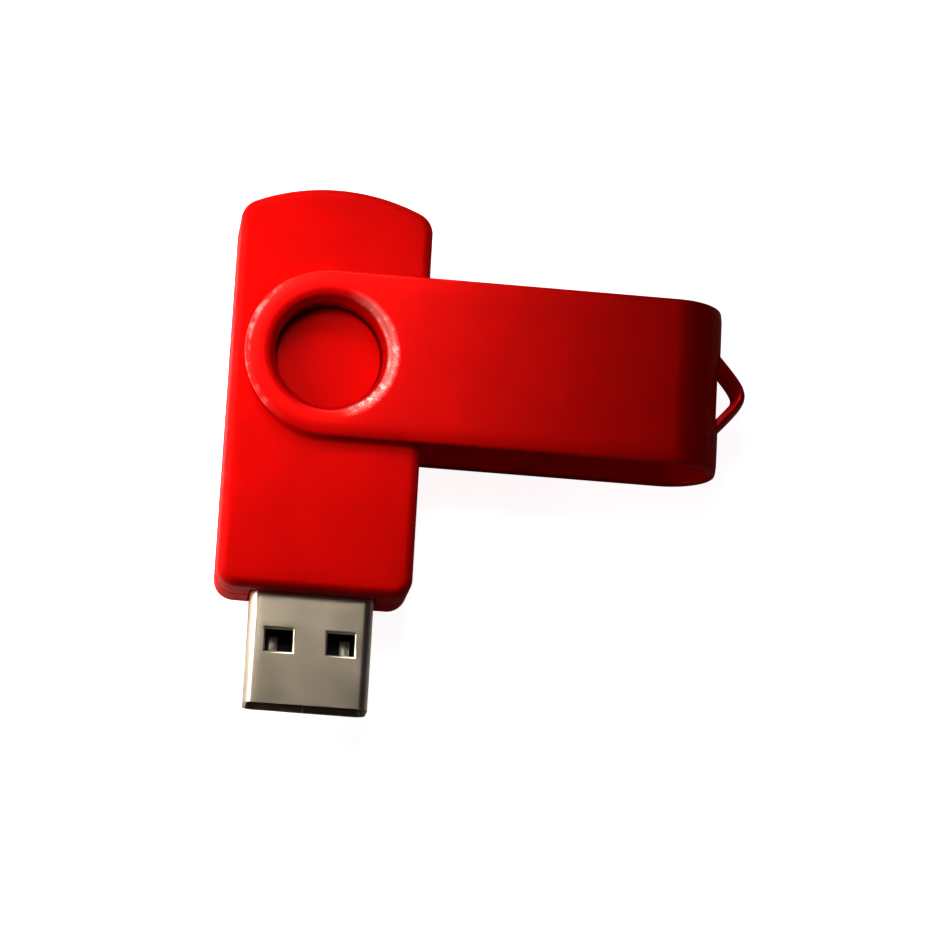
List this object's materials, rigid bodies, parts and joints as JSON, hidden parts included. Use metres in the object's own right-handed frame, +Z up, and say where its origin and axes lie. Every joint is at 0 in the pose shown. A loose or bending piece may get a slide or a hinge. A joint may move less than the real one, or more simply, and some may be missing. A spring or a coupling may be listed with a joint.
{
  "type": "usb flash drive",
  "caption": "Swivel-cover USB flash drive: arched plastic body with a type A plug, in a folded red metal cover that turns about a round recessed hub and ends in a cord loop.",
  "frame": {"origin": "middle of the footprint, on the surface that the drive lies on, with the cover swung square to the body", "axes": "+X from the pivot towards the cover's closed end, +Y from the plug towards the arched end of the body, +Z up through the pivot"},
  "size_m": [0.0514, 0.0516, 0.0103],
  "materials": {
    "body_plastic": "fine satin moulded ABS, bright red",
    "cover_paint": "glossy sprayed red enamel on sheet steel, worn at the rim",
    "plug_nickel": "satin nickel plating, warm tint",
    "insert_plastic": "matte black moulded plastic",
    "contact_plating": "gold flash plating",
    "board_laminate": "green solder mask",
    "chip_resin": "matte moulded epoxy",
    "can_steel": "brushed can",
    "bead_ceramic": "matte ferrite",
    "capacitor_ceramic": "matte tan ceramic"
  },
  "bodies": {
    "drive": {"upper_shell": "body_plastic", "lower_shell": "body_plastic", "plug_shell": "plug_nickel", "plug_insert": "insert_plastic", "contact_power": "contact_plating", "contact_data_minus": "contact_plating", "contact_data_plus": "contact_plating", "contact_ground": "contact_plating", "circuit_board": "board_laminate", "flash_memory": "chip_resin", "controller_chip": "chip_resin", "crystal": "can_steel", "ferrite_bead": "bead_ceramic", "capacitor_1": "capacitor_ceramic", "capacitor_2": "capacitor_ceramic", "capacitor_3": "capacitor_ceramic", "capacitor_4": "capacitor_ceramic", "resistor_1": "chip_resin", "resistor_2": "chip_resin", "resistor_3": "chip_resin", "resistor_4": "chip_resin"},
    "cover": {"swivel_cover": "cover_paint"}
  },
  "joints": [
    {"name": "cover_swivel", "type": "hinge", "parent": "drive", "child": "cover", "pos_m": [-0.01615, 0.00875, 0.00515], "axis": [0, 0, 1], "continuous": true}
  ]
}
